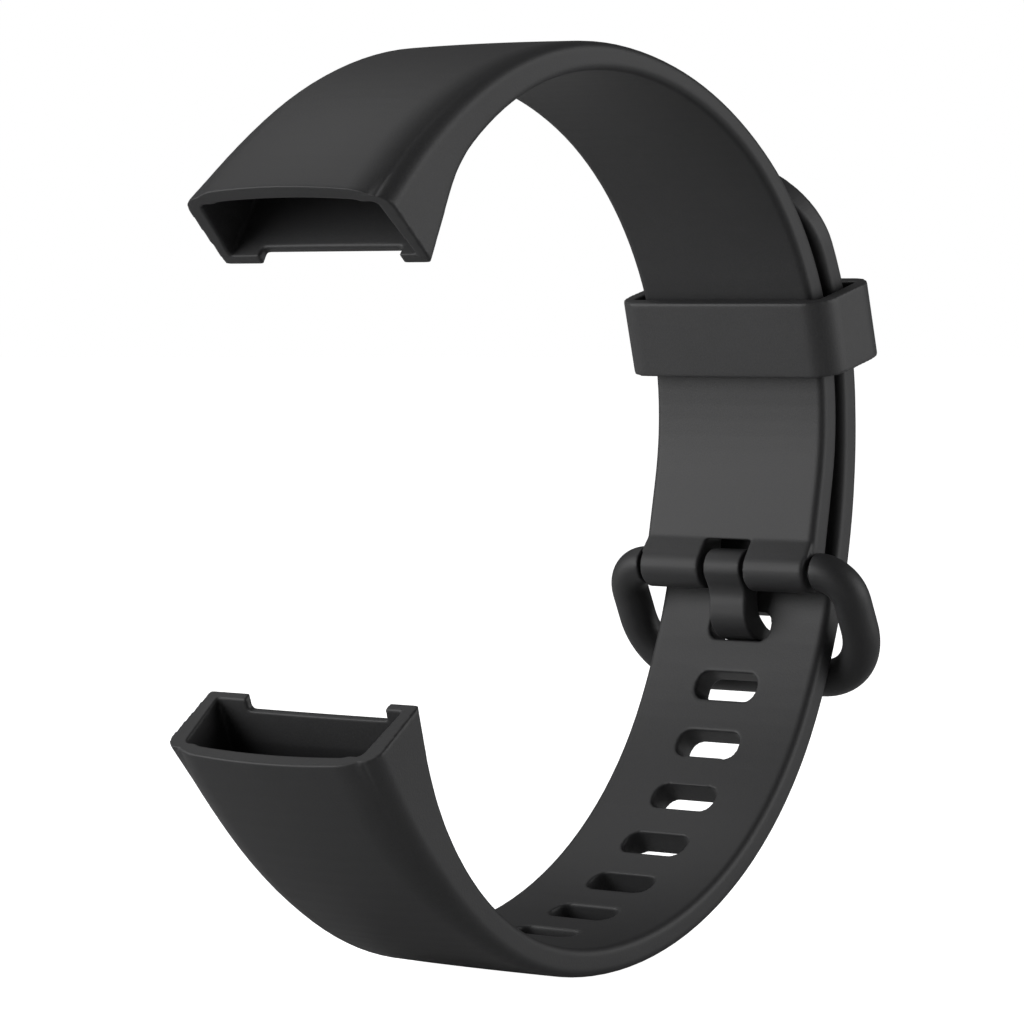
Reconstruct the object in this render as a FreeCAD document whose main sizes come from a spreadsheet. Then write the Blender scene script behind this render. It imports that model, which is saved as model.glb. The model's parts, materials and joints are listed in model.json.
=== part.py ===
import FreeCAD, Part
import math
import os

import Sketcher

# A two-piece wrist band for a fitness tracker, buckled to a loop that stands upright.
# X runs from the tracker's side to the buckle's side, Y lies along the loop's axis, Z is up.
# Everything is drawn in the loop's own plane, and set down at the end so that the origin is
# level with the band's lowest point, below the middle of the whole band.
# All sizes are in millimetres and degrees.

DIMENSIONS = [
    # straps
    ("strap_width", 16.3),
    ("strap_thick", 2.2),
    ("strap_gap", 0.65),
    ("flare_radius", 195.0),
    ("flare_reach", 32.0),
    # blanks that the straps are trimmed from
    ("blank_width", 30.0),
    ("blank_reach", 60.0),
    ("plan_front", 50.0),
    ("tip_clear", 14.0),
    # shared arc of the two overlapping straps
    ("lap_x", 3.6),
    ("lap_z", 6.4),
    ("lap_radius", 27.95),
    # buckle strap, outer face, from the buckle over the top to the tracker
    ("upper_outer_low", 5.0),
    ("upper_inner_low", 5.0),
    ("upper_outer_span", 30.3),
    ("temple_radius", 25.54),
    ("temple_span", 29.5),
    ("upper_inner_span", 73.23),
    ("crest_radius", 33.5),
    ("crest_span", 24.54),
    ("crest_inner_radius", 30.4),
    ("crest_inner_span", 13.5),
    ("shoulder_radius", 37.04),
    ("shoulder_span", 61.63),
    ("upper_cheek_radius", 28.85),
    ("upper_cheek_span", 51.12),
    ("upper_bend_radius", 10.62),
    ("upper_bend_span", 25.29),
    ("upper_flat", 5.81),
    # hole strap, from its tip down and round to the tracker
    ("tip_rise", 20.82),
    ("tip_inner_rise", 19.35),
    ("tip_span", 42.55),
    ("lap_past", -3.17),
    ("tail_radius", 49.42),
    ("tail_span", 30.55),
    ("lower_radius", 31.22),
    ("lower_span", 91.69),
    ("lower_inner_span", 61.49),
    ("belly_radius", 41.12),
    ("belly_span", 28.24),
    ("lower_cheek_radius", 24.73),
    ("lower_cheek_span", 34.28),
    ("lower_bend_radius", 23.57),
    ("lower_bend_span", 39.53),
    ("lower_flat", 3.15),
    # tip of the hole strap
    ("tip_start_angle", 27.3),
    # slots
    ("slot_long", 5.75),
    ("slot_short", 2.4),
    ("slot_corner", 0.95),
    ("slot_first_angle", 14.1),
    ("slot_pitch", 10.05),
    ("slot_count", 8),
    ("tail_slot_angle", 13.32),
    ("tail_slot_pitch", 6.0),
    ("tail_slot_count", 5),
    # tracker sockets
    ("socket_width", 16.8),
    ("upper_mouth_x", -27.4),
    ("upper_mouth_z", 21.6),
    ("upper_roof_x", -21.2),
    ("upper_roof_z", 26.67),
    ("upper_floor_x", -18.1),
    ("upper_floor_z", 24.6),
    ("upper_knee_x", -18.86),
    ("upper_knee_z", 23.69),
    ("upper_sill_x", -22.85),
    ("upper_sill_z", 17.25),
    ("lower_mouth_x", -28.9),
    ("lower_mouth_z", -14.4),
    ("lower_roof_x", -23.8),
    ("lower_roof_z", -20.95),
    ("lower_floor_x", -20.86),
    ("lower_floor_z", -19.03),
    ("lower_knee_x", -22.35),
    ("lower_knee_z", -15.9),
    ("lower_sill_x", -24.05),
    ("lower_sill_z", -10.85),
    # cut-back of the sockets' wrist-side wall
    ("relief_width", 12.6),
    ("relief_shift", 0.55),
    ("relief_across", 2.3),
    ("relief_along", 3.2),
    ("upper_relief_x", -19.66),
    ("upper_relief_z", 18.58),
    ("upper_relief_angle", 151.5),
    ("lower_relief_x", -23.68),
    ("lower_relief_z", -13.75),
    ("lower_relief_angle", 17.8),
    # buckle
    ("pivot_x", 28.45),
    ("pivot_z", -5.5),
    ("knuckle_radius", 1.75),
    ("knuckle_width", 15.8),
    ("neck_x", 30.0),
    ("neck_z", -4.6),
    ("brow_x", 27.97),
    ("brow_z", -3.1),
    ("crook_x", 27.15),
    ("crook_z", -4.3),
    ("notch_width", 4.4),
    ("notch_top", -3.2),
    ("notch_depth", 8.0),
    ("bar_bore_radius", 0.8),
    ("frame_rod_radius", 1.5),
    ("frame_turn", 64.4),
    ("frame_half_gap", 8.25),
    ("frame_half_width", 10.8),
    ("frame_reach", 9.7),
    ("frame_corner", 4.8),
    ("tip_hole_radius", 0.45),
    ("tip_hole_depth", 1.1),
    ("tongue_width", 3.5),
    ("tongue_ring_radius", 1.55),
    ("finger_root_x", 27.15),
    ("finger_root_z", -6.3),
    ("finger_waist_x", 27.75),
    ("finger_waist_z", -7.45),
    ("finger_heel_x", 27.85),
    ("finger_heel_z", -9.1),
    ("finger_bend_x", 28.35),
    ("finger_bend_z", -10.3),
    ("finger_sole_x", 29.2),
    ("finger_sole_z", -10.9),
    ("finger_point_x", 32.45),
    ("finger_point_z", -11.8),
    ("finger_crown_x", 32.75),
    ("finger_crown_z", -10.9),
    ("finger_elbow_x", 31.1),
    ("finger_elbow_z", -10.45),
    ("finger_throat_x", 29.5),
    ("finger_throat_z", -8.9),
    ("finger_nape_x", 29.6),
    ("finger_nape_z", -6.4),
    # spring bar
    ("tube_radius", 0.75),
    ("tube_bore_radius", 0.5),
    ("tube_half_length", 7.7),
    ("tube_lip", 0.3),
    ("tube_lip_radius", 0.43),
    ("tip_shaft_radius", 0.4),
    ("tip_head_radius", 0.46),
    ("tip_head_start", 5.6),
    ("tip_head_length", 0.9),
    ("tip_reach", 9.0),
    ("coil_half_wire", 0.08),
    ("coil_radius", 0.34),
    ("coil_turns", 16),
    ("coil_clear", 0.05),
    # keeper loop
    ("keeper_angle", 14.9),
    ("keeper_height", 6.1),
    ("keeper_wall", 1.25),
    ("keeper_clear", 0.15),
    ("keeper_sag", 0.17),
    ("keeper_side_gap", 0.75),
    ("keeper_corner", 2.2),
]

LEAST_CUT = 1e-6
LEAST_ROW_CUT = 1.0
ALONG = 0.99

doc = FreeCAD.newDocument("TrackerBand")
sheet = doc.addObject("Spreadsheet::Sheet", "Dimensions")
for row, (alias, value) in enumerate(DIMENSIONS, start=1):
    sheet.set(f"A{row}", str(value))
    sheet.setAlias(f"A{row}", alias)
doc.recompute()

subparts = []


def size(expression):
    """The present value of an expression over the sheet's names."""
    return float(sheet.evalExpression(expression))


def cells(expression):
    """The same expression as another object writes it, with the sheet's name before each alias."""
    words = expression.split(" ")
    return " ".join("Dimensions." + word if word in ALIASES else word for word in words)


ALIASES = {alias for alias, value in DIMENSIONS}


def new_body(label):
    body = doc.addObject("PartDesign::Body", label)
    body.Label = label
    subparts.append(body)
    return body


def new_sketch(body, role, name, shift=("0", "0", "0"), turn=None):
    """A sketch on one of the body's origin planes, moved by shift and turned about its own Y."""
    sketch = body.newObject("Sketcher::SketchObject", name)
    plane = next(f for f in body.Origin.OriginFeatures if f.Role == role)
    sketch.AttachmentSupport = [(plane, "")]
    sketch.MapMode = "FlatFace"
    angle = size(turn) if turn else 0.0
    turned = FreeCAD.Rotation(FreeCAD.Vector(0, 1, 0), angle)
    base = FreeCAD.Vector(*[size(part) for part in shift])
    sketch.AttachmentOffset = FreeCAD.Placement(base, turned)
    for axis, part in zip("xyz", shift):
        if part != "0":
            sketch.setExpression(f".AttachmentOffset.Base.{axis}", cells(part))
    if turn:
        sketch.setExpression(".AttachmentOffset.Rotation.Angle", cells(turn))
    return sketch


def bind(sketch, name, expression, kind, *where):
    """Adds a driving constraint whose value follows the sheet."""
    value = size(expression)
    if kind == "Angle":
        value = math.radians(value)
    index = sketch.addConstraint(Sketcher.Constraint(kind, *where, value))
    sketch.renameConstraint(index, name)
    sketch.setExpression(f"Constraints.{name}", cells(expression))


def pin(sketch, name, geometry, point, x, y):
    """Fixes a point of a sketch at x, y from the sketch's origin."""
    bind(sketch, name + "_x", x, "DistanceX", -1, 1, geometry, point)
    bind(sketch, name + "_y", y, "DistanceY", -1, 1, geometry, point)


def add_line(sketch, start, end):
    segment = Part.LineSegment(FreeCAD.Vector(*start, 0), FreeCAD.Vector(*end, 0))
    return sketch.addGeometry(segment, False)


def add_arc(sketch, centre, radius, first, last):
    circle = Part.Circle(FreeCAD.Vector(*centre, 0), FreeCAD.Vector(0, 0, 1), radius)
    return sketch.addGeometry(Part.ArcOfCircle(circle, first, last), False)


def join(sketch, kind, one, one_point, other, other_point):
    sketch.addConstraint(Sketcher.Constraint(kind, one, one_point, other, other_point))


def end_of(sketch, geometry, point):
    place = sketch.getPoint(geometry, point)
    return (place.x, place.y)


def polygon(sketch, tag, corners):
    """A closed outline of straight lines; each corner is a pair of expressions."""
    places = [(size(x), size(y)) for x, y in corners]
    lines = [add_line(sketch, places[i], places[(i + 1) % len(places)]) for i in range(len(places))]
    for i, (x, y) in enumerate(corners):
        join(sketch, "Coincident", lines[i], 1, lines[i - 1], 2)
        pin(sketch, f"{tag}{i}", lines[i], 1, x, y)
    return lines


def tangent_chain(sketch, tag, drop, turn, runs):
    """Tangent runs whose first arc is centred on the lap axis and starts drop below it.

    turn is 1 for anticlockwise and -1 for clockwise. A run is a pair of expressions,
    radius and sweep of an arc, or None and the length of a straight.
    Returns the open ends as (geometry, point) pairs.
    """
    centre = (size("lap_x"), size("lap_z"))
    start_angle = math.asin(-size(drop) / size(runs[0][0]))
    radius = size(runs[0][0])
    place = [centre[0] + radius * math.cos(start_angle), centre[1] + radius * math.sin(start_angle)]
    heading = start_angle + turn * math.pi / 2
    near, far = (1, 2) if turn > 0 else (2, 1)
    opening = last = None
    for number, (bend, span) in enumerate(runs):
        name = f"{tag}{number}"
        if bend is None:
            reach = size(span)
            target = (place[0] + reach * math.cos(heading), place[1] + reach * math.sin(heading))
            run, start, end = add_line(sketch, place, target), 1, 2
            bind(sketch, name + "_long", span, "Distance", run)
            place = list(target)
        else:
            radius, sweep = size(bend), math.radians(size(span))
            middle = (place[0] - turn * radius * math.sin(heading),
                      place[1] + turn * radius * math.cos(heading))
            first = heading - turn * math.pi / 2
            final = first + turn * sweep
            run = add_arc(sketch, middle, radius, min(first, final), max(first, final))
            start, end = near, far
            bind(sketch, name + "_bend", bend, "Radius", run)
            bind(sketch, name + "_span", span, "Angle", run)
            heading += turn * sweep
            place = [middle[0] + radius * math.cos(final), middle[1] + radius * math.sin(final)]
        if last is None:
            opening = (run, start)
            pin(sketch, tag + "_centre", run, 3, "lap_x", "lap_z")
            bind(sketch, tag + "_drop", f"0 - ( {drop} )", "DistanceY", run, 3, run, start)
        else:
            join(sketch, "Tangent", last[0], last[1], run, start)
        last = (run, end)
    return opening, last


def link(sketch, one, other):
    """A straight line between two open ends."""
    line = add_line(sketch, end_of(sketch, *one), end_of(sketch, *other))
    join(sketch, "Coincident", line, 1, *one)
    join(sketch, "Coincident", line, 2, *other)
    return line


def pad(body, sketch, name, length):
    feature = body.newObject("PartDesign::Pad", name)
    feature.Profile = sketch
    feature.SideType = "Symmetric"
    feature.setExpression("Length", cells(length))
    doc.recompute()
    return feature


def cut(body, sketch, name, length=None, one_side=False):
    """A pocket to both sides of its sketch, or to one side, that must take material away."""
    before = body.Shape.Volume
    feature = body.newObject("PartDesign::Pocket", name)
    feature.Profile = sketch
    if length:
        feature.setExpression("Length", cells(length))
    else:
        feature.Type = "ThroughAll"
    feature.SideType = "One side" if one_side else "Symmetric"
    feature.Reversed = one_side
    doc.recompute()
    if not body.Shape.Volume < before - LEAST_CUT:
        raise RuntimeError(f"{body.Label}: {name} cuts nothing")
    return feature


def trim_to_plan(body):
    """Cuts a strap to its outline seen from above: parallel, then flared towards the tracker."""
    sketch = new_sketch(body, "XY_Plane", "Plan")
    behind, beside = "0 - blank_reach", "0 - blank_width"
    polygon(sketch, "rim", [
        (behind, beside), ("blank_reach", beside), ("blank_reach", "blank_width"), (behind, "blank_width"),
    ])
    half, radius = size("strap_width / 2"), size("flare_radius")
    reach, ahead = size("flare_reach"), size("plan_front")
    spread = math.asin(reach / radius)
    rise = half + radius * (1 - math.cos(spread))
    top = add_arc(sketch, (0, half + radius), radius, 1.5 * math.pi - spread, 1.5 * math.pi)
    low = add_arc(sketch, (0, -half - radius), radius, math.pi / 2, math.pi / 2 + spread)
    back = add_line(sketch, (-reach, rise), (-reach, -rise))
    under = add_line(sketch, (0, -half), (ahead, -half))
    front = add_line(sketch, (ahead, -half), (ahead, half))
    over = add_line(sketch, (ahead, half), (0, half))
    join(sketch, "Coincident", top, 1, back, 1)
    join(sketch, "Coincident", back, 2, low, 2)
    join(sketch, "Coincident", low, 1, under, 1)
    join(sketch, "Coincident", under, 2, front, 1)
    join(sketch, "Coincident", front, 2, over, 1)
    join(sketch, "Coincident", over, 2, top, 2)
    bind(sketch, "flare_top", "flare_radius", "Radius", top)
    bind(sketch, "flare_low", "flare_radius", "Radius", low)
    pin(sketch, "top_end", top, 2, "0", "strap_width / 2")
    pin(sketch, "low_end", low, 1, "0", "0 - strap_width / 2")
    pin(sketch, "front_top", front, 2, "plan_front", "strap_width / 2")
    pin(sketch, "front_low", front, 1, "plan_front", "0 - strap_width / 2")
    bind(sketch, "top_centre", "0", "DistanceX", -1, 1, top, 3)
    bind(sketch, "low_centre", "0", "DistanceX", -1, 1, low, 3)
    bind(sketch, "back_top", "0 - flare_reach", "DistanceX", -1, 1, back, 1)
    bind(sketch, "back_low", "0 - flare_reach", "DistanceX", -1, 1, back, 2)
    cut(body, sketch, "PlanTrim")


def open_socket(body, side):
    """The tracker's socket: a blind pocket, and the cut-back in its wrist-side wall."""
    hollow = new_sketch(body, "XZ_Plane", "Socket")
    names = ["mouth", "roof", "floor", "knee", "sill"]
    polygon(hollow, "socket", [(f"{side}_{name}_x", f"{side}_{name}_z") for name in names])
    cut(body, hollow, "SocketPocket", "socket_width")
    relief = new_sketch(body, "XZ_Plane", "Relief", shift=("0", "0", "relief_shift"))
    angle = math.radians(size(f"{side}_relief_angle"))
    across = FreeCAD.Vector(math.cos(angle), math.sin(angle), 0)
    along = FreeCAD.Vector(-math.sin(angle), math.cos(angle), 0)
    corner = FreeCAD.Vector(size(f"{side}_relief_x"), size(f"{side}_relief_z"), 0)
    deep = corner + across * size("relief_across")
    points = [corner, deep, deep + along * size("relief_along"), corner + along * size("relief_along")]
    lines = [add_line(relief, points[i][:2], points[(i + 1) % 4][:2]) for i in range(4)]
    for i in range(4):
        join(relief, "Coincident", lines[i], 1, lines[i - 1], 2)
    pin(relief, "corner", lines[0], 1, f"{side}_relief_x", f"{side}_relief_z")
    bind(relief, "slope", f"{side}_relief_angle", "Angle", lines[0])
    bind(relief, "across", "relief_across", "Distance", lines[0])
    bind(relief, "along", "relief_along", "Distance", lines[1])
    for i in range(3):
        relief.addConstraint(Sketcher.Constraint("Perpendicular", lines[i], lines[i + 1]))
    cut(body, relief, "ReliefPocket", "relief_width")


def make_buckle_strap():
    body = new_body("buckle_strap")
    side = new_sketch(body, "XZ_Plane", "Side")
    outer = tangent_chain(side, "outer", "upper_outer_low", 1, [
        ("lap_radius", "upper_outer_span"),
        ("temple_radius", "temple_span"),
        ("crest_radius", "crest_span"),
        ("shoulder_radius", "shoulder_span"),
    ])
    inner = tangent_chain(side, "inner", "upper_inner_low", 1, [
        ("lap_radius - strap_thick", "upper_inner_span"),
        ("crest_inner_radius", "crest_inner_span"),
        ("upper_cheek_radius", "upper_cheek_span"),
        ("upper_bend_radius", "upper_bend_span"),
        (None, "upper_flat"),
    ])
    link(side, outer[1], inner[1])
    neck = add_line(side, end_of(side, *outer[0]), (size("neck_x"), size("neck_z")))
    core = add_line(side, (size("neck_x"), size("neck_z")), (size("pivot_x"), size("pivot_z")))
    crook = add_line(side, (size("pivot_x"), size("pivot_z")), (size("crook_x"), size("crook_z")))
    brow = add_line(side, (size("crook_x"), size("crook_z")), (size("brow_x"), size("brow_z")))
    back = add_line(side, (size("brow_x"), size("brow_z")), end_of(side, *inner[0]))
    join(side, "Coincident", neck, 1, *outer[0])
    join(side, "Coincident", neck, 2, core, 1)
    join(side, "Coincident", core, 2, crook, 1)
    join(side, "Coincident", crook, 2, brow, 1)
    join(side, "Coincident", brow, 2, back, 1)
    join(side, "Coincident", back, 2, *inner[0])
    pin(side, "neck", core, 1, "neck_x", "neck_z")
    pin(side, "pivot", crook, 1, "pivot_x", "pivot_z")
    pin(side, "crook", brow, 1, "crook_x", "crook_z")
    pin(side, "brow", back, 1, "brow_x", "brow_z")
    pad(body, side, "Strap", "blank_width")
    trim_to_plan(body)
    knuckle = new_sketch(body, "XZ_Plane", "Knuckle")
    circle(knuckle, "knuckle", "pivot_x", "pivot_z", "knuckle_radius")
    pad(body, knuckle, "KnuckleRoll", "knuckle_width")
    notch = new_sketch(body, "YZ_Plane", "Notch")
    polygon(notch, "notch", [
        ("0 - notch_width / 2", "notch_top"), ("0 - notch_width / 2", "notch_top - notch_depth"),
        ("notch_width / 2", "notch_top - notch_depth"), ("notch_width / 2", "notch_top"),
    ])
    cut(body, notch, "TongueNotch")
    bore = new_sketch(body, "XZ_Plane", "Bore")
    circle(bore, "bore", "pivot_x", "pivot_z", "bar_bore_radius")
    cut(body, bore, "BarBore")
    open_socket(body, "upper")


def circle(sketch, tag, x, y, radius):
    round_edge = Part.Circle(FreeCAD.Vector(size(x), size(y), 0), FreeCAD.Vector(0, 0, 1), size(radius))
    index = sketch.addGeometry(round_edge, False)
    bind(sketch, tag + "_bend", radius, "Radius", index)
    pin(sketch, tag, index, 3, x, y)


def rounded_slot(sketch):
    """A slot outline about the sketch's origin: slot_long along Y, slot_short along X."""
    radius = size("slot_corner")
    reach = {1: size("slot_short / 2") - radius, 2: size("slot_long / 2") - radius}
    corners = []
    for i, (sx, sy) in enumerate(((1, 1), (-1, 1), (-1, -1), (1, -1))):
        first = math.pi / 2 * i
        corners.append(add_arc(sketch, (sx * reach[1], sy * reach[2]), radius, first, first + math.pi / 2))
    for i, corner in enumerate(corners):
        other = corners[(i + 1) % 4]
        side = add_line(sketch, end_of(sketch, corner, 2), end_of(sketch, other, 1))
        join(sketch, "Tangent", corner, 2, side, 1)
        join(sketch, "Tangent", side, 2, other, 1)
        bind(sketch, f"bend{i}", "slot_corner", "Radius", corner)
    for i, corner in ((0, corners[0]), (2, corners[2])):
        sign = "" if i == 0 else "0 - "
        pin(sketch, f"centre{i}", corner, 3, f"{sign}( slot_short / 2 - slot_corner )",
            f"{sign}( slot_long / 2 - slot_corner )")


def slot_row(body, name, shift, turn, step, count):
    """A row of radial slots about a line parallel to Y through the sketch's origin."""
    sketch = new_sketch(body, "XY_Plane", name + "Outline", shift=shift, turn=turn)
    rounded_slot(sketch)
    pocket = cut(body, sketch, name, one_side=True)
    row = body.newObject("PartDesign::PolarPattern", name + "Row")
    row.Originals = [pocket]
    row.Axis = (sketch, ["V_Axis"])
    row.setExpression("Angle", cells(f"{step} * ( {count} - 1 )"))
    row.setExpression("Occurrences", cells(count))
    before = body.Shape.Volume
    body.Tip = row
    doc.recompute()
    if not body.Shape.Volume < before - LEAST_ROW_CUT:
        raise RuntimeError(f"{name} repeats nothing")


def make_hole_strap():
    body = new_body("hole_strap")
    side = new_sketch(body, "XZ_Plane", "Side")
    tail = "lap_radius + strap_gap + strap_thick"
    outer = tangent_chain(side, "outer", "0 - tip_rise", -1, [
        (tail, "tip_span + lap_past"),
        ("tail_radius", "tail_span"),
        ("lower_radius", "lower_span"),
        ("belly_radius", "belly_span"),
    ])
    inner = tangent_chain(side, "inner", "0 - tip_inner_rise", -1, [
        ("lap_radius + strap_gap", "tip_span + lap_past"),
        ("tail_radius - strap_thick", "tail_span"),
        ("lower_radius - strap_thick", "lower_inner_span"),
        ("lower_cheek_radius", "lower_cheek_span"),
        ("lower_bend_radius", "lower_bend_span"),
        (None, "lower_flat"),
    ])
    link(side, outer[0], inner[0])
    link(side, outer[1], inner[1])
    pad(body, side, "Strap", "blank_width")
    trim_to_plan(body)
    tip = new_sketch(body, "XY_Plane", "Tip", shift=("lap_x", "0", "lap_z"),
                     turn="90 - tip_start_angle")
    half, beyond = size("strap_width / 2"), "0 - tip_clear"
    bow = add_arc(tip, (0, 0), half, math.pi / 2, 1.5 * math.pi)
    corners = [("0", "0 - strap_width / 2"), ("0", beyond), (beyond, beyond),
               (beyond, "tip_clear"), ("0", "tip_clear"), ("0", "strap_width / 2")]
    places = [(size(x), size(y)) for x, y in corners]
    lines = [add_line(tip, places[i], places[i + 1]) for i in range(5)]
    join(tip, "Coincident", bow, 2, lines[0], 1)
    join(tip, "Coincident", bow, 1, lines[4], 2)
    for i in range(4):
        join(tip, "Coincident", lines[i], 2, lines[i + 1], 1)
        pin(tip, f"rim{i}", lines[i], 2, *corners[i + 1])
    pin(tip, "bow", bow, 3, "0", "0")
    bind(tip, "bow_bend", "strap_width / 2", "Radius", bow)
    bind(tip, "bow_low", "0", "DistanceX", -1, 1, bow, 2)
    bind(tip, "bow_top", "0", "DistanceX", -1, 1, bow, 1)
    cut(body, tip, "TipRound", one_side=True)
    open_socket(body, "lower")
    back = f"( {tail} - tail_radius )"
    middle = (f"lap_x + {back} * cos( lap_past * 1 deg )", f"lap_z - {back} * sin( lap_past * 1 deg )")
    drop = "( tail_radius - lower_radius )"
    turned = "( ( lap_past + tail_span ) * 1 deg )"
    shift = (f"{middle[0]} + {drop} * cos{turned}", "0", f"{middle[1]} - {drop} * sin{turned}")
    slot_row(body, "FitSlot", shift, "90 + slot_first_angle", "slot_pitch", "slot_count")
    shift = (middle[0], "0", middle[1])
    last = "tail_slot_angle - tail_slot_pitch * ( tail_slot_count - 1 )"
    slot_row(body, "TailSlot", shift, f"90 + {last}", "tail_slot_pitch", "tail_slot_count")


def make_keeper_loop():
    body = new_body("keeper_loop")
    near = "lap_radius - strap_thick - keeper_sag - keeper_clear"
    far = "lap_radius + strap_gap + strap_thick + keeper_clear"
    half = "strap_width / 2 + keeper_side_gap"
    for name, grow in (("Outside", " + keeper_wall"), ("Opening", "")):
        less = grow.replace("+", "-")
        sketch = new_sketch(body, "XY_Plane", name, shift=("lap_x", "0", "lap_z"),
                            turn="0 - keeper_angle")
        polygon(sketch, "side", [
            (near + less, f"0 - ( {half}{grow} )"), (far + grow, f"0 - ( {half}{grow} )"),
            (far + grow, half + grow), (near + less, half + grow),
        ])
        if grow:
            block = pad(body, sketch, "Block", "keeper_height")
            along = sketch.Placement.Rotation.multVec(FreeCAD.Vector(0, 0, 1))
            corners = [f"Edge{i}" for i, edge in enumerate(body.Shape.Edges, start=1)
                       if abs(edge.tangentAt(edge.FirstParameter).dot(along)) > ALONG]
            rounding = body.newObject("PartDesign::Fillet", "Corners")
            rounding.Base = (block, corners)
            rounding.setExpression("Radius", cells("keeper_corner"))
            doc.recompute()
        else:
            cut(body, sketch, "Through", "keeper_height + 2")


def pinned_arc(sketch, tag, centre, radius, start, first, ends):
    """An arc of a quarter turn; ends holds its first point and which coordinate fixes its last."""
    middle = (size(centre[0]), size(centre[1]))
    arc = add_arc(sketch, middle, size(radius), math.radians(first), math.radians(first + 90))
    pin(sketch, tag + "_centre", arc, 3, *centre)
    pin(sketch, tag + "_start", arc, 1, *start)
    kind, expression = ends
    bind(sketch, tag + "_end", expression, kind, -1, 1, arc, 2)
    return arc


def make_buckle_frame():
    """A round rod bent to an open oval whose ends face the knuckle, and its two bar holes."""
    body = new_body("buckle_frame")
    path = new_sketch(body, "XY_Plane", "Path", shift=("pivot_x", "0", "pivot_z"), turn="frame_turn")
    gap, wide, reach = "frame_half_gap", "frame_half_width", "frame_reach"
    small, big = f"{wide} - {gap}", "frame_corner"
    corner_x = f"{reach} - {big}"
    high = pinned_arc(path, "far_shoulder", (small, gap), small, (small, wide), 90,
                      ("DistanceY", gap))
    far = pinned_arc(path, "far_corner", (corner_x, f"{wide} - {big}"), big,
                     (reach, f"{wide} - {big}"), 0, ("DistanceX", corner_x))
    near = pinned_arc(path, "near_corner", (corner_x, f"{big} - {wide}"), big,
                      (corner_x, f"0 - {wide}"), 270, ("DistanceY", f"{big} - {wide}"))
    low = pinned_arc(path, "near_shoulder", (small, f"0 - {gap}"), small, ("0", f"0 - {gap}"), 180,
                     ("DistanceX", small))
    for one, other in (((high, 1), (far, 2)), ((far, 1), (near, 2)), ((near, 1), (low, 2))):
        link(path, one, other)
    rod = new_sketch(body, "XZ_Plane", "Rod", shift=("0", "0", gap))
    circle(rod, "rod", "pivot_x", "pivot_z", "frame_rod_radius")
    pipe = body.newObject("PartDesign::AdditivePipe", "Oval")
    pipe.Profile = rod
    pipe.Spine = path
    doc.recompute()
    hole = new_sketch(body, "XZ_Plane", "Hole")
    circle(hole, "hole", "pivot_x", "pivot_z", "tip_hole_radius")
    cut(body, hole, "TipHoles", "2 * ( frame_half_gap + tip_hole_depth )")


def make_buckle_tongue():
    """A flat tongue rolled round the spring bar, running through the first slot to the frame."""
    body = new_body("buckle_tongue")
    ring = new_sketch(body, "XZ_Plane", "Ring")
    circle(ring, "ring", "pivot_x", "pivot_z", "tongue_ring_radius")
    pad(body, ring, "RingRoll", "tongue_width")
    finger = new_sketch(body, "XZ_Plane", "Finger")
    names = ["root", "waist", "heel", "bend", "sole", "point", "crown", "elbow", "throat", "nape"]
    polygon(finger, "finger", [(f"finger_{name}_x", f"finger_{name}_z") for name in names])
    pad(body, finger, "FingerPad", "tongue_width")
    bore = new_sketch(body, "XZ_Plane", "Bore")
    circle(bore, "bore", "pivot_x", "pivot_z", "bar_bore_radius")
    cut(body, bore, "BarBore")


def rod_along_y(name, radius, start, length):
    """A cylinder on the spring bar's axis, from y = start towards +Y."""
    rod = doc.addObject("Part::Cylinder", name)
    turned = FreeCAD.Rotation(FreeCAD.Vector(1, 0, 0), -90)
    rod.Placement = FreeCAD.Placement(FreeCAD.Vector(), turned)
    rod.setExpression("Radius", cells(radius))
    rod.setExpression("Height", cells(length))
    rod.setExpression(".Placement.Base.x", cells("pivot_x"))
    rod.setExpression(".Placement.Base.y", cells(start))
    rod.setExpression(".Placement.Base.z", cells("pivot_z"))
    return rod


def make_spring_bar():
    """The telescopic pin in the knuckle: a lipped tube, two plungers and the coil between them."""
    half = "tube_half_length"
    outside = rod_along_y("TubeOutside", "tube_radius", f"0 - {half}", f"2 * {half}")
    bore = rod_along_y("TubeBore", "tube_bore_radius", f"tube_lip - {half}",
                       f"2 * ( {half} - tube_lip )")
    lips = rod_along_y("TubeLips", "tube_lip_radius", f"0 - {half} - 1", f"2 * {half} + 2")
    hollow = doc.addObject("Part::Fuse", "TubeHollow")
    hollow.Base, hollow.Tool = bore, lips
    tube = doc.addObject("Part::Cut", "spring_bar_tube")
    tube.Base, tube.Tool = outside, hollow
    subparts.append(tube)
    length = "( tip_reach - tip_head_start )"
    for side, head, shaft in (
        ("far", "tip_head_start", "tip_head_start"),
        ("near", "0 - tip_head_start - tip_head_length", "0 - tip_reach"),
    ):
        collar = rod_along_y(f"Collar_{side}", "tip_head_radius", head, "tip_head_length")
        pin_rod = rod_along_y(f"Shaft_{side}", "tip_shaft_radius", shaft, length)
        plunger = doc.addObject("Part::Fuse", f"spring_bar_tip_{side}")
        plunger.Base, plunger.Tool = collar, pin_rod
        subparts.append(plunger)
    wire, radius = size("coil_half_wire"), size("coil_radius")
    length = 2 * (size("tip_head_start") - wire - size("coil_clear"))
    helix = Part.makeHelix(length / size("coil_turns"), length, radius)
    corners = [(radius + i * wire, 0, j * wire) for i, j in ((1, 1), (-1, 1), (-1, -1), (1, -1))]
    section = Part.makePolygon([FreeCAD.Vector(*corner) for corner in corners + corners[:1]])
    pipe = Part.Wire(helix.Edges).makePipeShell([section], True, True)
    pipe.rotate(FreeCAD.Vector(), FreeCAD.Vector(1, 0, 0), -90)
    pipe.translate(FreeCAD.Vector(size("pivot_x"), -length / 2, size("pivot_z")))
    coil = doc.addObject("Part::Feature", "spring_bar_coil")
    coil.Shape = pipe
    subparts.append(coil)


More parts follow.
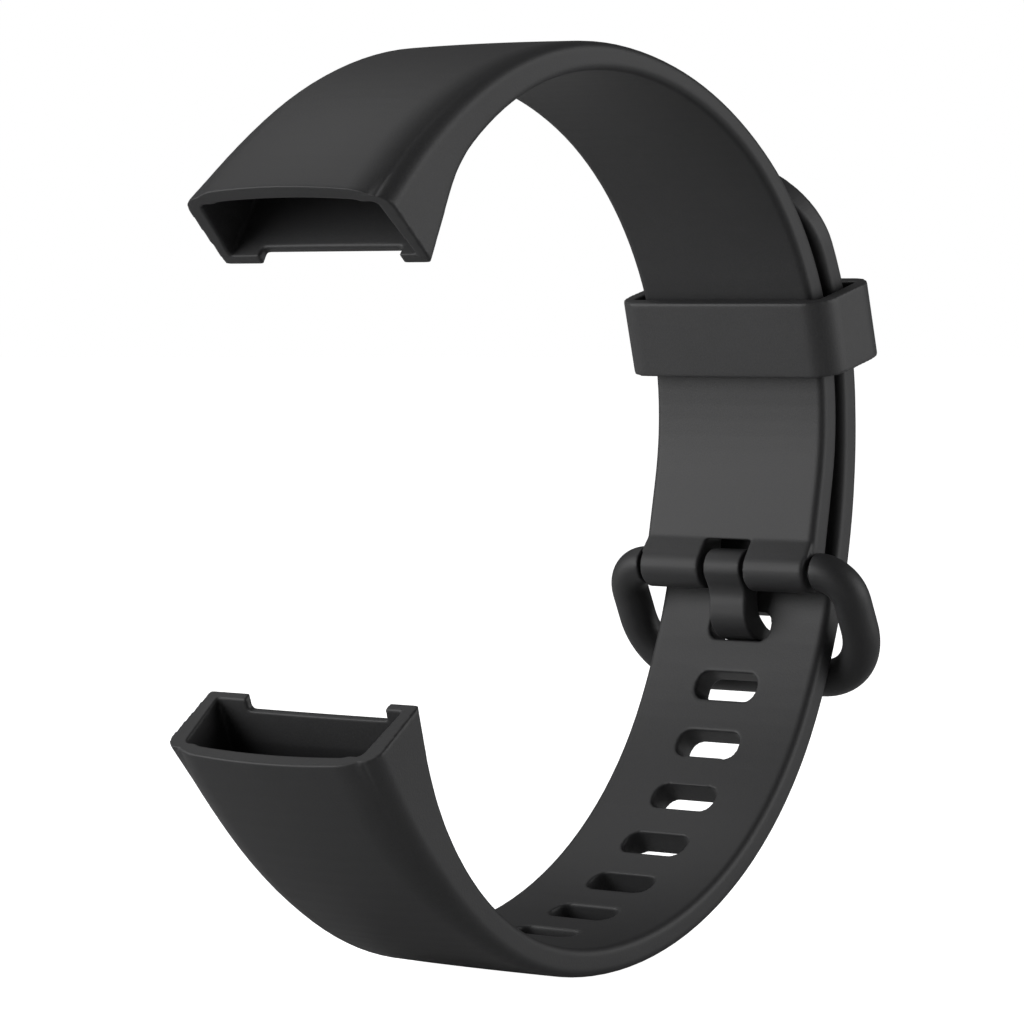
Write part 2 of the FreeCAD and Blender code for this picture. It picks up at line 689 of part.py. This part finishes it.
def set_down():
    """Moves the whole band so that the origin is below its middle, at its lowest point."""
    box = FreeCAD.BoundBox()
    for part in subparts:
        box.add(part.Shape.optimalBoundingBox(False, False))
    step = FreeCAD.Placement(FreeCAD.Vector(-box.Center.x, 0, -box.ZMin), FreeCAD.Rotation())
    for part in subparts:
        part.Placement = step * part.Placement
    doc.recompute()
    print(f"loop plane's own zero lies at x {step.Base.x:.4f}, z {step.Base.z:.4f}")


def check():
    for item in doc.Objects:
        if {"Invalid", "Error"} & set(item.State):
            raise RuntimeError(f"{item.Name} failed: {item.State}")
    for part in subparts:
        if part.Shape.isNull() or not part.Shape.isValid() or not part.Shape.Solids:
            raise RuntimeError(f"{part.Label} has no valid solid")


make_buckle_strap()
make_hole_strap()
make_keeper_loop()
make_buckle_frame()
make_buckle_tongue()
make_spring_bar()
doc.recompute()
set_down()
check()
os.makedirs("parts", exist_ok=True)
for part in subparts:
    part.Shape.exportStep(f"parts/{part.Label}.step")
    box = part.Shape.optimalBoundingBox(False, False)
    print(f"{part.Label}: {part.Shape.Volume:.2f} mm3, {len(part.Shape.Solids)} solid, "
          f"x {box.XMin:.2f} {box.XMax:.2f}, y {box.YMin:.2f} {box.YMax:.2f}, "
          f"z {box.ZMin:.2f} {box.ZMax:.2f}")
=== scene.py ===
import json
import math

import bpy
import numpy as np
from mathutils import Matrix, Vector
from mathutils.bvhtree import BVHTree


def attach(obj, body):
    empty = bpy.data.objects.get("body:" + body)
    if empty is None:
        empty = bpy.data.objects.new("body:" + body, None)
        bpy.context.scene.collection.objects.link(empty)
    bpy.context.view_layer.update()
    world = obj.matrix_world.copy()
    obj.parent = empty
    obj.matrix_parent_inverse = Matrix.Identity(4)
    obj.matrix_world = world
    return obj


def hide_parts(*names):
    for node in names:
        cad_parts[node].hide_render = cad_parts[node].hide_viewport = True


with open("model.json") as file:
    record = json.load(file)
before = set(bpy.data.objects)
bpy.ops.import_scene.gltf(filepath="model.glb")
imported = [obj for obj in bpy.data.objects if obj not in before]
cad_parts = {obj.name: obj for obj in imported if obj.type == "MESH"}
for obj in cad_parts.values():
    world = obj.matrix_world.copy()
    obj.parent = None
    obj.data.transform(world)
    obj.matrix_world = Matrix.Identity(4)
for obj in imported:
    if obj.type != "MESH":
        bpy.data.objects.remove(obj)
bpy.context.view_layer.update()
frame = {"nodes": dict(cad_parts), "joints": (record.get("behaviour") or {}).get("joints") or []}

# The looks of a buckled fitness tracker band. Lengths are metres, apart from those named _MM.
MM = 0.001

# --- camera -------------------------------------------------------------------------------
CAMERA_AZIMUTH = math.radians(-52.0)
CAMERA_ELEVATION = math.radians(2.64)
CAMERA_DISTANCE = 332 * MM
CAMERA_LENS = 156.4
CAMERA_AIM = Vector((-3.43, 0.0, 34.22)) * MM

# --- light --------------------------------------------------------------------------------
WORLD_LIGHT = 0.08
FLOOR_TONE = 0.7
FLOOR_GLOW = 1.0
FLOOR_RADIUS = 4
# name, turn from the camera's side in degrees, height, distance, size, power in watts
SOFT_BOXES = (
    ("left_box", -80, 0.06, 0.55, (0.5, 0.5), 3.6),
    ("right_box", 82, 0.10, 0.55, (0.5, 0.5), 2.2),
    ("top_box", -130, 0.55, 0.30, (0.4, 0.4), 0.75),
)

# --- skins: grain of the remesh, passes of smoothing, share of faces kept ---------------------
VOXEL_MM = 0.13
SMOOTH_STEPS = 4
STRAP_SMOOTH_STEPS = 6
KEEPER_SMOOTH_STEPS = 8
KEEP_SHARE = 0.25

# --- straps: the pairs are for the tracker's end and for the thin part ----------------------
STATIONS = 500
NORMALS_AVERAGED = 15
PROBES_Y_MM = (-3.3, -7.2)
PROBE_DEPTH_MM = 0.5
THICK_END_MM = 30.0
# each edge's rounding, across the width and into the thickness
CROWN_ROUND_MM = ((3.3, 1.75), (0.7, 0.6))
WRIST_ROUND_MM = ((0.5, 0.5), (0.6, 0.55))
# how far the outer face's edges lie below its middle
CROWN_MM = (0.75, 0.05)
THICKNESS_MM = (7.4, 2.2)
# the remesh cuts corners off by up to this much, near the corner's diagonal
CORNER_CUT_MM = 0.18
CORNER_SHARE = 0.3
MOST_ROUNDED = 0.9
# at the mouths the crown's side is narrower and the wrist's side is wider by these shares
MOUTH_REACH_MM = 13.0
MOUTH_SPREAD = (-0.045, 0.03)
POINTS_AT_ONCE = 20000


def joint_place(name):
    """Where a joint's axis lies, as x and z in millimetres."""
    place = next(j for j in frame["joints"] if j["name"] == name)["pos_m"]
    return np.array([place[0], place[2]]) / MM


LAP_CENTRE = joint_place("keeper_slide")


# --- materials ----------------------------------------------------------------------------
def node_tree(name):
    material = bpy.data.materials.new(name)
    material.use_nodes = True
    return material, material.node_tree.nodes, material.node_tree.links


def moulded(name, dark, light, rough_low, rough_high, grain, bump):
    """A moulded soft polymer: cloudy tone, fine grain and an uneven sheen."""
    material, nodes, links = node_tree(name)
    shader = nodes["Principled BSDF"]
    place = nodes.new("ShaderNodeTexCoord")
    cloud = nodes.new("ShaderNodeTexNoise")
    cloud.inputs["Scale"].default_value = 90
    cloud.inputs["Detail"].default_value = 4
    fine = nodes.new("ShaderNodeTexNoise")
    fine.inputs["Scale"].default_value = grain
    fine.inputs["Detail"].default_value = 3
    for texture in (cloud, fine):
        links.new(place.outputs["Object"], texture.inputs["Vector"])
    blend = nodes.new("ShaderNodeMath")
    blend.operation = "MULTIPLY_ADD"
    blend.inputs[1].default_value = 0.5
    links.new(fine.outputs["Fac"], blend.inputs[0])
    half = nodes.new("ShaderNodeMath")
    half.operation = "MULTIPLY"
    half.inputs[1].default_value = 0.5
    links.new(cloud.outputs["Fac"], half.inputs[0])
    links.new(half.outputs[0], blend.inputs[2])
    tone = nodes.new("ShaderNodeValToRGB")
    tone.color_ramp.elements[0].position = 0.3
    tone.color_ramp.elements[0].color = (*dark, 1)
    tone.color_ramp.elements[1].position = 0.7
    tone.color_ramp.elements[1].color = (*light, 1)
    links.new(blend.outputs[0], tone.inputs["Fac"])
    links.new(tone.outputs["Color"], shader.inputs["Base Color"])
    rough = nodes.new("ShaderNodeMapRange")
    rough.inputs["To Min"].default_value = rough_low
    rough.inputs["To Max"].default_value = rough_high
    links.new(blend.outputs[0], rough.inputs["Value"])
    links.new(rough.outputs["Result"], shader.inputs["Roughness"])
    relief = nodes.new("ShaderNodeBump")
    relief.inputs["Strength"].default_value = bump
    relief.inputs["Distance"].default_value = 0.00002
    links.new(fine.outputs["Fac"], relief.inputs["Height"])
    links.new(relief.outputs["Normal"], shader.inputs["Normal"])
    shader.inputs["Specular IOR Level"].default_value = 0.45
    return material


def drawn_steel(name):
    """Bright wire and tube, faintly streaked around its axis."""
    material, nodes, links = node_tree(name)
    shader = nodes["Principled BSDF"]
    shader.inputs["Metallic"].default_value = 1.0
    place = nodes.new("ShaderNodeTexCoord")
    stretch = nodes.new("ShaderNodeMapping")
    stretch.inputs["Scale"].default_value = (900, 9000, 900)
    streak = nodes.new("ShaderNodeTexNoise")
    streak.inputs["Scale"].default_value = 1.0
    links.new(place.outputs["Object"], stretch.inputs["Vector"])
    links.new(stretch.outputs["Vector"], streak.inputs["Vector"])
    tone = nodes.new("ShaderNodeValToRGB")
    tone.color_ramp.elements[0].color = (0.42, 0.42, 0.43, 1)
    tone.color_ramp.elements[1].color = (0.66, 0.66, 0.67, 1)
    links.new(streak.outputs["Fac"], tone.inputs["Fac"])
    links.new(tone.outputs["Color"], shader.inputs["Base Color"])
    rough = nodes.new("ShaderNodeMapRange")
    rough.inputs["To Min"].default_value = 0.25
    rough.inputs["To Max"].default_value = 0.4
    links.new(streak.outputs["Fac"], rough.inputs["Value"])
    links.new(rough.outputs["Result"], shader.inputs["Roughness"])
    return material


STRAP_RUBBER = moulded("strap_rubber_look", (0.020, 0.020, 0.021), (0.030, 0.030, 0.031),
                       0.48, 0.62, 6500, 0.5)
KEEPER_RUBBER = moulded("keeper_rubber_look", (0.028, 0.028, 0.029), (0.040, 0.040, 0.041),
                        0.46, 0.60, 6500, 0.5)
BUCKLE_PLASTIC = moulded("buckle_plastic_look", (0.017, 0.017, 0.018), (0.026, 0.026, 0.027),
                         0.48, 0.60, 9000, 0.35)
STEEL = drawn_steel("spring_bar_steel_look")


# --- meshes from the frame ----------------------------------------------------------------
def new_piece(name, mesh, material, slot, body, *nodes):
    """Link a piece, shade it smooth, hang it on its body's empty, and hide the CAD parts it stands
    for.
    """
    mesh.materials.clear()
    mesh.materials.append(material)
    mesh.shade_smooth()
    piece = bpy.data.objects.new(name, mesh)
    bpy.context.scene.collection.objects.link(piece)
    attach(piece, body)
    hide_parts(*nodes)
    return piece


def evaluated(mesh, *modifiers):
    """The mesh after the given modifiers, each a (type, settings) pair."""
    holder = bpy.data.objects.new("holder", mesh)
    bpy.context.scene.collection.objects.link(holder)
    for kind, settings in modifiers:
        modifier = holder.modifiers.new(kind.lower(), kind)
        for key, value in settings.items():
            setattr(modifier, key, value)
    graph = bpy.context.evaluated_depsgraph_get()
    result = bpy.data.meshes.new_from_object(holder.evaluated_get(graph))
    bpy.data.objects.remove(holder)
    return result


def points_of(mesh):
    """A mesh's vertices as an array, in millimetres."""
    flat = np.zeros(len(mesh.vertices) * 3)
    mesh.vertices.foreach_get("co", flat)
    return flat.reshape(-1, 3) / MM


def put_points(mesh, points):
    mesh.vertices.foreach_set("co", (points * MM).ravel())
    mesh.update()


def remeshed_mesh(mesh):
    """A closed mesh as one even skin of small quads."""
    voxel = VOXEL_MM * MM
    return evaluated(mesh, ("WELD", {"merge_threshold": 1e-6}),
                     ("REMESH", {"mode": "VOXEL", "voxel_size": voxel}))


def remeshed(node):
    return remeshed_mesh(frame["nodes"][node].data.copy())


def smoothed(mesh, steps=SMOOTH_STEPS):
    """The skin with its edges eased, and then with fewer faces where it is flat."""
    eased_mesh = evaluated(mesh, ("SMOOTH", {"factor": 0.5, "iterations": steps}))
    return evaluated(eased_mesh, ("DECIMATE", {"ratio": KEEP_SHARE}))


# --- straps -------------------------------------------------------------------------------
def stations(node, first, last, outer):
    """Points of a strap's outer or wrist-side face in the loop's plane, with the normal that
    leaves the strap there and its two sides. The angles run about the lap's centre, from the
    buckle's end to the tracker's."""
    cad = frame["nodes"][node].data
    tree = BVHTree.FromPolygons([v.co for v in cad.vertices],
                                [p.vertices[:] for p in cad.polygons])
    far = 60 * MM
    rows = []
    for turn in np.linspace(first, last, STATIONS):
        ray = Vector((math.cos(turn), 0, math.sin(turn)))
        best = None
        for y in PROBES_Y_MM:
            centre = Vector((LAP_CENTRE[0] * MM, y * MM, LAP_CENTRE[1] * MM))
            start, way = (centre + ray * far, -ray) if outer else (centre, ray)
            hit, normal, _, gone = tree.ray_cast(start, way, far)
            if hit and (best is None or gone < best[2]):
                best = (hit, normal, gone)
        if best is None:
            continue
        hit, normal, _ = best
        out = Vector((normal.x, 0, normal.z)).normalized()
        inside = Vector((hit.x, 0, hit.z)) - out * PROBE_DEPTH_MM * MM
        far_side = tree.ray_cast(inside + Vector((0, far, 0)), Vector((0, -1, 0)))[0]
        near_side = tree.ray_cast(inside - Vector((0, far, 0)), Vector((0, 1, 0)))[0]
        if far_side is None or near_side is None:
            continue
        rows.append((hit.x / MM, hit.z / MM, out.x, out.z, near_side.y / MM, far_side.y / MM))
    rows = np.array(rows)
    even = np.ones(NORMALS_AVERAGED) / NORMALS_AVERAGED
    for column in (2, 3):
        padded = np.pad(rows[:, column], NORMALS_AVERAGED // 2, mode="edge")
        rows[:, column] = np.convolve(padded, even, mode="valid")
    rows[:, 2:4] /= np.hypot(rows[:, 2], rows[:, 3])[:, None]
    return rows


def eased(t):
    t = np.clip(t, 0, 1)
    return t * t * (3 - 2 * t)


def nearest_rows(points, rows):
    """For each point, the index of the station nearest to it in the loop's plane."""
    index = np.empty(len(points), int)
    for start in range(0, len(points), POINTS_AT_ONCE):
        part = points[start:start + POINTS_AT_ONCE, [0, 2]]
        apart = ((part[:, None, :] - rows[None, :, 0:2]) ** 2).sum(2)
        index[start:start + POINTS_AT_ONCE] = apart.argmin(1)
    return index


def rounded(y, depth, half, wide, high):
    """Square corners bent to ellipses: the new |y|, and how far each point sinks."""
    a = np.clip((np.abs(y) - half + wide) / wide, 0, None)
    b = np.clip((high - depth) / high, 0, None)
    reach = np.maximum(a, b)
    cut_off = (reach > 1 - CORNER_CUT_MM / np.minimum(wide, high)) & (reach < 1)
    near_edge = eased(1 - np.abs(a - b) / CORNER_SHARE)
    reach = np.where(cut_off, reach + near_edge * (1 - reach), reach)
    squeeze = reach / np.maximum(np.hypot(a, b), 1e-9)
    corner = (a > 0) & (b > 0)
    squeeze = np.where(corner, squeeze, 1.0)
    sink = np.where(corner, b * (1 - squeeze) * high, 0.0)
    return np.where(corner, half - wide + a * squeeze * wide, np.abs(y)), sink


def soften(points, rows, rounds, crowns, spread=None):
    """Round one face's two long edges to ellipses, crown the face across its width, and spread
    the mouth's two sides."""
    steps = np.hypot(np.diff(rows[:, 0]), np.diff(rows[:, 1]))
    from_mouth = np.append(np.cumsum(steps[::-1])[::-1], 0)
    index = nearest_rows(points, rows)
    here = rows[index]
    depth = -((points[:, [0, 2]] - here[:, 0:2]) * here[:, 2:4]).sum(1)
    thick = 1 - eased(from_mouth[index] / THICK_END_MM)

    def mix(pair):
        return pair[1] + (pair[0] - pair[1]) * thick

    wide, high = mix([r[0] for r in rounds]), mix([r[1] for r in rounds])
    middle, half = (here[:, 4] + here[:, 5]) / 2, (here[:, 5] - here[:, 4]) / 2
    y = points[:, 1] - middle
    new_y, sink = rounded(y, depth, half, np.minimum(wide, MOST_ROUNDED * half), high)
    share = np.clip(1 - depth / mix(THICKNESS_MM), 0, 1)
    sink = sink + mix(crowns) * (new_y / half) ** 2 * share
    if spread:
        near_mouth = 1 - eased(from_mouth[index] / MOUTH_REACH_MM)
        low = np.clip(depth / THICKNESS_MM[0], 0, 1)
        new_y = new_y * (1 + near_mouth * (spread[0] + (spread[1] - spread[0]) * low))
    moved = points.copy()
    moved[:, 1] = new_y * np.sign(y) + middle
    moved[:, 0] -= here[:, 2] * sink
    moved[:, 2] -= here[:, 3] * sink
    return moved


def strap(name, node, first, outer_last, wrist_last):
    """One strap; the angles say where its two faces run, about the lap's centre."""
    first, outer_last, wrist_last = (math.radians(a) for a in (first, outer_last, wrist_last))
    mesh = remeshed(node)
    points = points_of(mesh)
    wrist_rows = stations(node, first, wrist_last, False)
    points = soften(points, wrist_rows, WRIST_ROUND_MM, (0, 0))
    outer_rows = stations(node, first, outer_last, True)
    points = soften(points, outer_rows, CROWN_ROUND_MM, CROWN_MM, MOUTH_SPREAD)
    put_points(mesh, points)
    skin = smoothed(mesh, STRAP_SMOOTH_STEPS)
    return new_piece(name, skin, STRAP_RUBBER, "strap_rubber", "straps", node)


# --- tongue: outline in the loop's plane, from the pivot, in millimetres -------------------
TONGUE_RING_MM = 1.55
TONGUE_HALF_WIDTH_MM = 1.75
TONGUE_RING_TURN = (10, 215)
TONGUE_RING_KNOTS = 9
TONGUE_FINGER_MM = (
    (-0.85, -1.55), (-0.68, -2.20), (-0.70, -3.00), (-0.62, -4.00), (-0.20, -4.85),
    (0.70, -5.60), (2.40, -6.06), (3.95, -6.42), (4.20, -5.60), (2.60, -4.85),
    (1.45, -3.70), (1.20, -2.40), (1.30, -1.20),
)
SPLINE_STEPS = 10


def smooth_closed(knots, steps):
    """A closed Catmull-Rom curve through the knots."""
    knots = np.array(knots)
    count = len(knots)
    t = np.linspace(0, 1, steps, endpoint=False)[:, None]
    curve = []
    for i in range(count):
        p0, p1, p2, p3 = (knots[(i + k) % count] for k in (-1, 0, 1, 2))
        curve.append(0.5 * (2 * p1 + (p2 - p0) * t + (2 * p0 - 5 * p1 + 4 * p2 - p3) * t ** 2
                            + (3 * p1 - p0 - 3 * p2 + p3) * t ** 3))
    return np.concatenate(curve)


def prism(outline, half_width):
    """A solid with that outline in the XZ plane, symmetric about Y = 0. All in millimetres."""
    count = len(outline)
    points = [(x, y, z) for y in (-half_width, half_width) for x, z in outline]
    faces = [tuple(range(count)), tuple(range(2 * count - 1, count - 1, -1))]
    faces += [(i, i + count, (i + 1) % count + count, (i + 1) % count) for i in range(count)]
    mesh = bpy.data.meshes.new("prism")
    mesh.from_pydata([tuple(c * MM for c in p) for p in points], [], faces)
    return mesh


def tongue_piece():
    """The tongue: a roll on the bar, a neck, a belly and a finger through the first slot."""
    pivot = joint_place("tongue_swing")
    turns = np.radians(np.linspace(*TONGUE_RING_TURN, TONGUE_RING_KNOTS))
    ring = np.stack([np.cos(turns), np.sin(turns)], 1) * TONGUE_RING_MM
    knots = np.concatenate([ring, np.array(TONGUE_FINGER_MM)]) + pivot
    solid = prism(smooth_closed(knots, SPLINE_STEPS), TONGUE_HALF_WIDTH_MM)
    mesh = smoothed(remeshed_mesh(solid))
    return new_piece("tongue_skin", mesh, BUCKLE_PLASTIC, "buckle_plastic", "tongue",
                     "buckle_tongue")


def simple(name, node, material, slot, body, steps=SMOOTH_STEPS):
    """A piece whose CAD shape is right and only needs its edges softened."""
    return new_piece(name, smoothed(remeshed(node), steps), material, slot, body, node)


strap("buckle_strap_skin", "buckle_strap", -20, 146, 157)
strap("hole_strap_skin", "hole_strap", 46, -140, -146)
simple("keeper_skin", "keeper_loop", KEEPER_RUBBER, "keeper_rubber", "keeper",
       KEEPER_SMOOTH_STEPS)
simple("frame_skin", "buckle_frame", BUCKLE_PLASTIC, "buckle_plastic", "frame")
tongue_piece()

for node in ("spring_bar_tube", "spring_bar_tip_far", "spring_bar_tip_near", "spring_bar_coil"):
    cad = frame["nodes"][node]
    cad.data.materials.clear()
    cad.data.materials.append(STEEL)


# --- floor, light and camera --------------------------------------------------------------
def pale_floor():
    """A floor that glows white to the eye; its glow lights only itself."""
    bpy.ops.mesh.primitive_circle_add(vertices=96, radius=FLOOR_RADIUS, fill_type="NGON")
    floor = bpy.context.object
    floor.name = "floor"
    material, nodes, links = node_tree("floor_look")
    shader = nodes["Principled BSDF"]
    shader.inputs["Base Color"].default_value = (FLOOR_TONE, FLOOR_TONE, FLOOR_TONE, 1)
    shader.inputs["Roughness"].default_value = 0.9
    shader.inputs["Emission Color"].default_value = (1, 1, 1, 1)
    shader.inputs["Emission Strength"].default_value = FLOOR_GLOW
    floor.data.materials.append(material)
    glow_on = bpy.data.collections.new("lit_by_floor")
    glow_on.objects.link(floor)
    floor.light_linking.receiver_collection = glow_on


def soft_box(name, place, size, power):
    light = bpy.data.lights.new(name, "AREA")
    light.shape = "RECTANGLE"
    light.size, light.size_y = size
    light.energy = power
    lamp = bpy.data.objects.new(name, light)
    bpy.context.scene.collection.objects.link(lamp)
    lamp.location = place
    lamp.rotation_euler = (CAMERA_AIM - Vector(place)).to_track_quat("-Z", "Y").to_euler()


def studio():
    """White to the eye, dim as a light, with a large soft box each side of the camera."""
    world = bpy.data.worlds.new("studio")
    bpy.context.scene.world = world
    world.use_nodes = True
    nodes, links = world.node_tree.nodes, world.node_tree.links
    seen = nodes["Background"]
    seen.inputs["Color"].default_value = (1, 1, 1, 1)
    seen.inputs["Strength"].default_value = 1.0
    lit = nodes.new("ShaderNodeBackground")
    lit.inputs["Color"].default_value = (1, 1, 1, 1)
    lit.inputs["Strength"].default_value = WORLD_LIGHT
    path = nodes.new("ShaderNodeLightPath")
    mixer = nodes.new("ShaderNodeMixShader")
    links.new(path.outputs["Is Camera Ray"], mixer.inputs["Fac"])
    links.new(lit.outputs[0], mixer.inputs[1])
    links.new(seen.outputs[0], mixer.inputs[2])
    links.new(mixer.outputs[0], nodes["World Output"].inputs["Surface"])
    for name, turn, height, distance, size, power in SOFT_BOXES:
        angle = CAMERA_AZIMUTH + math.radians(turn)
        place = CAMERA_AIM + Vector((math.sin(angle) * distance, -math.cos(angle) * distance, height))
        soft_box(name, place, size, power)
    bpy.context.scene.view_settings.view_transform = "Standard"


def camera():
    lens = bpy.data.cameras.new("camera")
    lens.lens = CAMERA_LENS
    lens.sensor_width = 36
    lens.clip_start = 0.01
    eye = bpy.data.objects.new("camera", lens)
    bpy.context.scene.collection.objects.link(eye)
    back = Vector((math.sin(CAMERA_AZIMUTH) * math.cos(CAMERA_ELEVATION),
                   -math.cos(CAMERA_AZIMUTH) * math.cos(CAMERA_ELEVATION),
                   math.sin(CAMERA_ELEVATION)))
    eye.location = CAMERA_AIM + back * CAMERA_DISTANCE
    eye.rotation_euler = (-back).to_track_quat("-Z", "Y").to_euler()
    bpy.context.scene.camera = eye


pale_floor()
studio()
camera()
